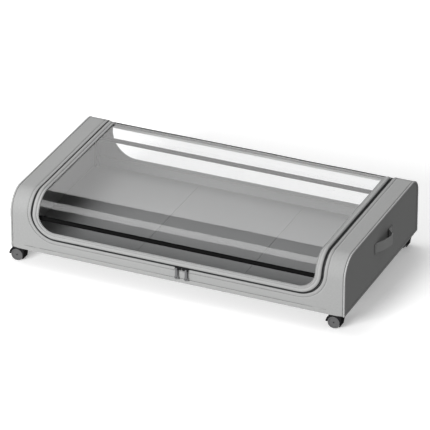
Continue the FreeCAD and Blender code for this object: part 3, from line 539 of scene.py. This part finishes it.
def end_sheet(name, inset, x_out, thick, puff, sign, size=0.5):
    """Sheet across an end of the case, slightly domed."""
    ring = profile(inset)
    middle = np.array([0.0, (LOW + TOP) / 2])
    steps = np.array([1.0, 0.993, 0.985, RIM_FROM, 0.965, 0.94, 0.9, 0.85, 0.78, 0.7, 0.6, 0.5,
                      0.4, 0.3, 0.2, 0.1, 0.02])
    yz = middle + steps[None, :, None] * (ring - middle)[:, None, :]
    dome = puff * (1 - steps ** 5) + ripple(yz[..., 0], yz[..., 1], size) * (1 - steps ** 4)
    rim = RIM_DROP * np.clip((steps - RIM_FROM) / (1 - RIM_FROM), 0, 1) ** 2 * (puff > 0)
    outer = np.stack([sign * (x_out - rim + dome), yz[..., 0], yz[..., 1]], axis=-1)
    inner = np.stack([sign * (x_out - thick + dome * 0.6), yz[..., 0], yz[..., 1]],
                     axis=-1)[:, ::-1]
    points = np.concatenate([inner, outer], axis=1)
    chart = np.concatenate([yz[:, ::-1], yz], axis=1)
    return solid(name, points, chart, closed_u=True, cap_v=True)


def end_area(inset):
    """Flat area of an end sheet."""
    ring = profile(inset)
    y, z = ring[:, 0], ring[:, 1]
    return abs(np.dot(y, np.roll(z, 1)) - np.dot(z, np.roll(y, 1))) / 2 * MM * MM


for side, sign in SIDES:
    panel = wear(end_sheet(f"end_cloth_{side}", END_INSET, END_OUT, 1.9, 0.9, sign), "end_fabric")
    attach(panel, "case")
    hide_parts(f"end_panel_{side}")
    end_area(END_INSET)
    inner = end_sheet(f"end_lining_cloth_{side}", LINING_INSET, LINING_OUT, 0.9, -0.5, sign, 0.35)
    wear(inner, "wall_lining_painted_lighter")
    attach(inner, "case")
    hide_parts(f"end_lining_{side}")
    end_area(LINING_INSET)

CORD_R, CORD_INSET, CORD_SIDES = 2.2, 1.7, 14

# piping: a cloth-covered cord round each end
for side, sign in SIDES:
    ring = profile(CORD_INSET)
    middle = np.mean(ring, axis=0)
    ahead = np.roll(ring, -1, axis=0) - np.roll(ring, 1, axis=0)
    ahead /= np.linalg.norm(ahead, axis=1)[:, None]
    out = np.stack([-ahead[:, 1], ahead[:, 0]], axis=1)
    out *= np.sign(np.sum(out * (ring - middle), axis=1))[:, None]
    run = np.concatenate([[0], np.cumsum(np.linalg.norm(np.diff(ring, axis=0), axis=1))])
    r = CORD_R + 0.06 * np.sin(run * 0.9)
    angle = np.linspace(0, 2 * math.pi, CORD_SIDES, endpoint=False)
    points = np.zeros((len(ring), CORD_SIDES, 3))
    points[..., 0] = sign * (END_OUT + r[:, None] * np.cos(angle))
    points[..., 1:] = ring[:, None, :] + (r[:, None] * np.sin(angle))[..., None] * out[:, None, :]
    chart = np.stack(np.broadcast_arrays(run[:, None], CORD_R * angle[None, :]), axis=-1)
    cord = wear(solid(f"piping_cord_{side}", points, chart, closed_u=True, closed_v=True),
                "piping_fabric")
    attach(cord, "case")
    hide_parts(f"piping_{side}")


def plate(name, xs, half_y, z, thick, shape):
    """Flat closed sheet, with its top at z and a height map."""
    gx, gy = np.meshgrid(xs, np.linspace(-half_y, half_y, 40), indexing="ij")
    rise = shape(gx, gy)
    outer = np.stack([gx, gy, z + rise], axis=-1)
    inner = np.stack([gx, gy, z - thick + np.minimum(rise, 0) * 0.3], axis=-1)[:, ::-1]
    points = np.concatenate([outer, inner], axis=1)
    return solid(name, points, points[..., :2], closed_v=True, cap_u=True)


def floor_shape(x, y):
    """The lining dips into the gap at each fold, between two soft shoulders."""
    edge = arch((y + 211) / 422) * arch((x + 393) / 786)
    from_fold = np.abs(x) - FOLD_X
    crease = -1.3 * np.exp(-from_fold ** 2)
    swell = 0.5 * np.exp(-(from_fold / 6) ** 2)
    return crease + swell + ripple(x, y, 0.25) * edge


beside = np.array([0.4, 0.9, 1.4, 2, 3, 5, 9, 16])
near_fold = FOLD_X + np.concatenate([-beside[::-1], [0], beside])
floor_x = np.unique(np.concatenate([np.linspace(-FLOOR_X, FLOOR_X, 60), near_fold, -near_fold]))
floor_cloth = plate("floor_cloth", floor_x, FLOOR_Y, FLOOR_Z, 0.9, floor_shape)
wear(floor_cloth, "lining_fabric")
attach(floor_cloth, "case")
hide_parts("floor_lining")
bottom_x = np.linspace(-SURROUND_X, SURROUND_X, 60)
bottom = plate("bottom_cloth", bottom_x, 214.9, LOW + 1.5, 1.4, lambda x, y: np.zeros_like(x))
wear(bottom, "case_fabric")
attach(bottom, "case")
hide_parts("bottom_panel")


WALL_Y, WALL_THICK = 211.35, 0.9
WALL_LIP = 0.3                    # rounding of the wall's top edge


def wall(name, sign, node):
    """Low inner wall cloth with a turned top edge."""
    xs = np.linspace(-392.2, 392.2, 110)
    zs = np.array([40.2, 44, 49, 54, 58, 61, 62.6, WALL_TOP - WALL_LIP])
    gx, gz = np.meshgrid(xs, zs, indexing="ij")
    face = sign * (WALL_Y + ripple(gx, gz, 0.15) * arch((gz - 40) / 24))
    back = sign * (WALL_Y + WALL_THICK)
    outer = np.stack([gx, face, gz], axis=-1)
    cap = np.stack([gx[:, -1:], np.full_like(gx[:, -1:], sign * (WALL_Y + WALL_THICK / 2)),
                    gz[:, -1:] + WALL_LIP], axis=-1)
    inner = np.stack([gx, np.full_like(gx, back), gz], axis=-1)[:, ::-1]
    points = np.concatenate([outer, cap, inner], axis=1)
    piece = solid(name, points, points[..., [0, 2]], closed_v=True, cap_u=True)
    wear(piece, "wall_lining_painted_lighter")
    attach(piece, "case")
    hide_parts(node)


wall("front_wall_cloth", -1, "front_lining")
wall("rear_wall_cloth", 1, "rear_lining")


# ---------------------------------------------------------------- zip

def strip(name, path, section):
    """Closed strip swept along a chart path: section holds (inset shift, lift) pairs."""
    path = np.asarray(path, float)
    ahead = np.gradient(path, axis=0)
    ahead /= np.linalg.norm(ahead, axis=1)[:, None]
    out = np.stack([-ahead[:, 1], ahead[:, 0]], axis=1)
    points, chart = [], []
    run = np.concatenate([[0], np.cumsum(np.linalg.norm(np.diff(path, axis=0), axis=1))])
    for shift, lift in section:
        xs = path + out * shift
        points.append(skin(xs[:, 0], xs[:, 1], lift))
        chart.append(np.stack([run, np.full_like(run, shift + 3 * lift)], axis=1))
    return solid(name, np.stack(points, axis=1), np.stack(chart, axis=1), closed_v=True, cap_u=True)


ZIP_END = s_top(183.8)            # where the zip stops, just in front of the hinge
COVER_SPLIT = s_top(SPLIT_Y)
# insets of the zip's parts from the window's edge
CASE_TAPE, CASE_TEETH, COVER_TAPE, COVER_TEETH = 1.6, 1.05, 2.6, 2.95
TAPE = 10.4                       # width of one half of the tape, sewn edge to coil
TAPE_TOP, TAPE_UNDER = -2.1, -3.0


def hinge_blend(piece):
    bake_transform(piece)


def fold_blend(piece):
    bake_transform(piece)


def cover_blend(piece, part):
    """Bake the piece's transform, through fold_blend for the front run and hinge_blend for the side
    runs.
    """
    (fold_blend if part == "front" else hinge_blend)(piece)


def cover_runs(inset):
    """Chart paths of the cover's edge: front U, left side and right side."""
    front = edge_path(inset, COVER_SPLIT)
    x = WINDOW_X - inset
    length = np.linspace(COVER_SPLIT, ZIP_END, 140)
    left = np.stack([np.full_like(length, -x), length[::-1]], axis=1)
    right = np.stack([np.full_like(length, x), length], axis=1)
    return {"front": front, "left": left, "right": right}


def tape_section(reach):
    """Flat section: a positive reach goes towards the window's middle."""
    return [(0, TAPE_TOP), (reach, TAPE_TOP), (reach, TAPE_UNDER), (0, TAPE_UNDER)]


case_edge = edge_path(CASE_TAPE, ZIP_END)
case_tape = strip("zip_tape_case", case_edge, tape_section(-TAPE))
wear(case_tape, "zip_tape")
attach(case_tape, "case")
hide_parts("zip_half_case")


def teeth(name, path):
    """Coil of the zip: short beads lying across its path."""
    points, ahead = even(path, 1.6)
    centre = skin(points[:, 0], points[:, 1], -1.0)
    tip = skin(points[:, 0] + ahead[:, 0], points[:, 1] + ahead[:, 1], -1.0)
    above = skin(points[:, 0], points[:, 1], 0.0)
    out = above - centre
    across = np.cross(tip - centre, out)
    return wear(beads(name, centre, across, out, (1.5, 1.0, 1.4)), "coil")


case_teeth = teeth("zip_teeth_case", edge_path(CASE_TEETH, ZIP_END))
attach(case_teeth, "case")
for part, path in cover_runs(COVER_TAPE).items():
    tape = wear(strip(f"zip_tape_{part}", path, tape_section(TAPE)), "zip_tape")
    coil = teeth(f"zip_teeth_{part}", cover_runs(COVER_TEETH)[part])
    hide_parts(f"cover_zip_half_{part}")
    for piece in (tape, coil):
        cover_blend(piece, part)


# ---------------------------------------------------------------- binding

BEAD = 8.8                        # round part of the binding, beside the zip
STITCH_ROWS = ((BINDING_START + BEAD + 0.3, 0.35), (BINDING_START + 13.6, 1.15))


def roll_section(width, rise, below):
    """Round bead next to the zip, a sewn groove, then a flatter flange over the clear sheet."""
    bead = [(BEAD / 2 * (1 - math.cos(a)), rise * math.sin(a) ** 0.8)
            for a in np.linspace(0, math.pi * 0.93, 14)]
    flange_w = width - BEAD
    flange = [(BEAD + flange_w / 2 * (1 - math.cos(a)), 0.15 + 1.1 * math.sin(a) ** 0.6)
              for a in np.linspace(0.25, math.pi, 9)]
    under = [(width / 2 + width * 0.48 * math.cos(a), -below * math.sin(a) ** 0.5)
             for a in np.linspace(0.15, math.pi - 0.15, 9)]
    return bead + flange + under


for part, path in cover_runs(BINDING_START).items():
    roll = strip(f"binding_{part}", path, roll_section(BINDING_WIDTH, BINDING_PROUD, 1.5))
    wear(roll, "binding_fabric")
    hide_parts(f"cover_binding_{part}")
    cover_blend(roll, part)
    for step, lift in STITCH_ROWS:
        row = sew(f"binding_stitches_{part}_{int(step)}", cover_runs(step)[part], lift)
        cover_blend(row, part)


# ---------------------------------------------------------------- clear sheet

def sheet_grid(rows):
    """Single sheet from rows of (half width, s, lift)."""
    across = np.linspace(-1, 1, 90)
    points, chart = [], []
    for half, s, lift in rows:
        x = across * half
        sag = ripple(x, np.full_like(x, s), 0.35) * arch((across + 1) / 2) * min(1, abs(lift) * 2)
        points.append(skin(x, s, lift + sag))
        chart.append(np.stack([x, np.full_like(x, s)], axis=1))
    return np.array(points), np.array(chart)


def clear_piece(name, rows):
    """Piece of the clear sheet, one face thick."""
    points, chart = sheet_grid(rows)
    piece = build(name, points.reshape(-1, 3), loft(points), chart.reshape(-1, 2))
    wear(piece, "clear_sheet")
    return piece


def half_width(s, inset):
    """Half width of the window at a distance round the case."""
    z = float(skin(0, s)[2])
    r = CORNER_R - inset
    if z >= CORNER_Z or (TOP_START <= s <= TOP_END):
        return WINDOW_X - inset
    drop = min(CORNER_Z - z, r)
    return CORNER_X + math.sqrt(max(r * r - drop * drop, 0))


SHEET_LIFT, REAR_LIFT = -0.8, -2.4    # under the binding, and under the fabric at the back
UNDER = 8.0                       # the clear sheet reaches this far under its binding
SEAM_OUT = 7.0                    # and at the back this far under the fabric
DROP_RUN, WIDEN_RUN = 26.0, 5.0   # lengths over which it drops, and widens to its rear seam
inset = BINDING_START + BINDING_WIDTH - UNDER
front_low = float(s_front(SILL + inset))
front_s = np.concatenate([np.linspace(front_low, s_front(CORNER_Z), 40)[:-1],
                          np.linspace(float(s_front(CORNER_Z)), TOP_START, 36)[:-1],
                          np.linspace(TOP_START, COVER_SPLIT, 20)])
front_clear = clear_piece("clear_front", [(half_width(s, inset), s, SHEET_LIFT) for s in front_s])
fold_blend(front_clear)
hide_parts("cover_sheet_front")

rear_low = float(s_rear(SILL - SEAM_OUT))
rear_s = np.concatenate([np.linspace(COVER_SPLIT, ZIP_END, 60)[:-1],
                         np.linspace(ZIP_END, TOP_END + REAR_ARC, 34)[:-1],
                         np.linspace(TOP_END + REAR_ARC, rear_low, 34)])


def rear_row(s):
    """The sheet drops below the fabric behind the zip's ends, and widens to its seam there."""
    t = float(np.clip((s - ZIP_END + DROP_RUN) / DROP_RUN, 0, 1))
    t = t * t * (3 - 2 * t)
    narrow = WINDOW_X - inset
    wide = half_width(s, -SEAM_OUT - 0.5) if s > TOP_END else narrow
    half = narrow + (wide - narrow) * float(np.clip((s - ZIP_END) / WIDEN_RUN, 0, 1))
    return half, s, SHEET_LIFT + (REAR_LIFT - SHEET_LIFT) * t


rear_clear = clear_piece("clear_top_and_rear", [rear_row(s) for s in rear_s])
hinge_blend(rear_clear)
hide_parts("cover_sheet_top", "rear_window")


# ---------------------------------------------------------------- handles

# the strap's path: places along the end, and how far it stands out there
HANDLE_Y = [-44, -38, -33, -29, -22, -12, -2, 8, 14, 19, 24, 28, 31, 34, 37, 41, 60]
HANDLE_OUT = [0.9, 0.9, 1.0, 2.6, 7.0, 11.5, 14.6, 16.8, 17.4, 17.0, 15.0, 11.6, 8.0, 4.6, 2.0,
              0.95, 0.9]
HANDLE_X, HANDLE_Z = 398.6, 116.0
HALF_STRAP, STRAP_THICK = 12.0, 1.5
SEWN_X, SEWN_HALF = 400.95, 10.5  # the sewn boxes at the strap's ends


def handle(side, sign):
    """Webbing loop, sewn at both ends, fuller towards the back."""
    fine = np.linspace(HANDLE_Y[0], HANDLE_Y[-1], 90)
    reach = HANDLE_X + np.interp(fine, HANDLE_Y, HANDLE_OUT)
    for _ in range(3):
        reach[1:-1] = (reach[:-2] + 2 * reach[1:-1] + reach[2:]) / 4
    path = np.stack([reach, fine], axis=1)
    ahead = np.gradient(path, axis=0)
    ahead /= np.linalg.norm(ahead, axis=1)[:, None]
    out_dir = np.stack([ahead[:, 1], -ahead[:, 0]], axis=1)
    sag = 0.4 * np.sin(np.clip((fine + 32) / 80, 0, 1) * math.pi)
    wide = np.linspace(-HALF_STRAP, HALF_STRAP, 17)
    face = [(h, 0.0 if abs(h) < HALF_STRAP - 0.4 else -0.25) for h in wide]
    back = [(h, -STRAP_THICK) for h in wide[::-1]]
    points, chart = [], []
    run = np.concatenate([[0], np.cumsum(np.linalg.norm(np.diff(path, axis=0), axis=1))])
    for h, lift in face + back:
        xy = path + out_dir * (lift + STRAP_THICK)
        rib = 0.10 * math.cos(h * math.pi / 2) if lift > -1 else 0.0
        z = HANDLE_Z + h - sag
        points.append(np.stack([sign * (xy[:, 0] + rib), xy[:, 1], z], axis=1))
        chart.append(np.stack([run, np.full_like(run, h)], axis=1))
    piece = solid(f"handle_{side}", np.stack(points, axis=1), np.stack(chart, axis=1),
                  closed_v=True, cap_u=True)
    wear(piece, "webbing")
    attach(piece, "case")
    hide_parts(f"handle_strap_{side}")
    rows, dirs = [], []
    below, above = HANDLE_Z - SEWN_HALF, HANDLE_Z + SEWN_HALF
    for low, high in ((-43, -34), (48, 58)):      # a sewn box with one diagonal at each end
        corners = [(low, below), (high, below), (high, above), (low, above), (low, below),
                   (high, above)]
        points, ahead = even(corners, 2.6)
        rows += [(sign * SEWN_X, p[0], p[1]) for p in points]
        dirs += [(0, a[0], a[1]) for a in ahead]
    stitch = beads(f"handle_stitches_{side}", rows, dirs, [(sign, 0, 0)] * len(rows),
                   (1.9, 0.6, 0.7))
    wear(stitch, "thread")
    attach(stitch, "case")


handle("left", -1)
handle("right", 1)


# ---------------------------------------------------------------- carried-over nodes

def carried(slot_name):
    """Nodes of the record with this material slot."""
    return [s["node"] for s in frame["record"]["subparts"] if s["material_slot"] == slot_name]


for slot_name in ("board", "rod_black", "slider_metal", "caster_steel", "caster_black",
                  "wheel_grey"):
    for name in carried(slot_name):
        thing = frame["nodes"][name]
        thing = bpy.data.objects[thing] if isinstance(thing, str) else thing
        thing.data.materials.clear()
        look = "pull_metal" if name.startswith("zip_pull") else slot_name
        thing.data.materials.append(MATS[look])


# ---------------------------------------------------------------- stage

def area_light(name, place, target, size, watts):
    """Rectangular lamp of the stage, turned towards its target."""
    data = bpy.data.lights.new(name, "AREA")
    data.shape = "RECTANGLE"
    data.size, data.size_y = size
    data.energy = watts
    lamp = bpy.data.objects.new(name, data)
    bpy.context.scene.collection.objects.link(lamp)
    lamp.location = place
    lamp.rotation_euler = (Vector(target) - Vector(place)).to_track_quat("-Z", "Y").to_euler()
    return lamp


bpy.ops.mesh.primitive_plane_add(size=14)
ground = bpy.context.object
ground.name = "floor"
pale, pale_shader = material("pale floor", (0.9, 0.9, 0.9), 0.9)
pale_shader.inputs["Emission Color"].default_value = (1, 1, 1, 1)
pale_shader.inputs["Emission Strength"].default_value = 0.25
ground.data.materials.append(pale)
ground.visible_glossy = False
ground.visible_diffuse = False

AIM = (0, 0, 0.1)
key = area_light("key", (-1.1, -4.0, 1.5), AIM, (2.4, 1.6), 270)
key.visible_glossy = False
band = area_light("band", (-0.5, -2.6, 2.9), AIM, (3.6, 2.2), 75)
band.visible_diffuse = False
area_light("backdrop", (-1.6, 3.6, 2.1), AIM, (3.6, 2.0), 33)
high = area_light("high", (-0.5, 0.4, 2.6), AIM, (1.6, 1.2), 26)
high.visible_glossy = False

world = bpy.data.worlds.new("studio")
world.use_nodes = True
nodes, links = world.node_tree.nodes, world.node_tree.links
path = nodes.new("ShaderNodeLightPath")
strength = nodes.new("ShaderNodeMapRange")
strength.inputs["To Min"].default_value = 0.35
strength.inputs["To Max"].default_value = 0.03
links.new(path.outputs["Is Glossy Ray"], strength.inputs["Value"])
links.new(strength.outputs["Result"], nodes["Background"].inputs["Strength"])
nodes["Background"].inputs["Color"].default_value = (1, 1, 1, 1)
bpy.context.scene.world = world

AZIMUTH, ELEVATION, DISTANCE = math.radians(23.70), math.radians(28.15), 9.2
LENS = 345.96                     # millimetres, for the sensor below
aim = Vector((0.0, 0.0, 0.095))
camera_data = bpy.data.cameras.new("camera")
camera_data.lens = LENS
camera_data.sensor_width = 36
camera_data.clip_end = 60
camera = bpy.data.objects.new("camera", camera_data)
bpy.context.scene.collection.objects.link(camera)
camera.location = aim + DISTANCE * Vector((math.sin(AZIMUTH) * math.cos(ELEVATION),
                                           -math.cos(AZIMUTH) * math.cos(ELEVATION),
                                           math.sin(ELEVATION)))
camera.rotation_euler = (aim - camera.location).to_track_quat("-Z", "Y").to_euler()
bpy.context.scene.camera = camera
bpy.context.scene.view_settings.view_transform = "Standard"
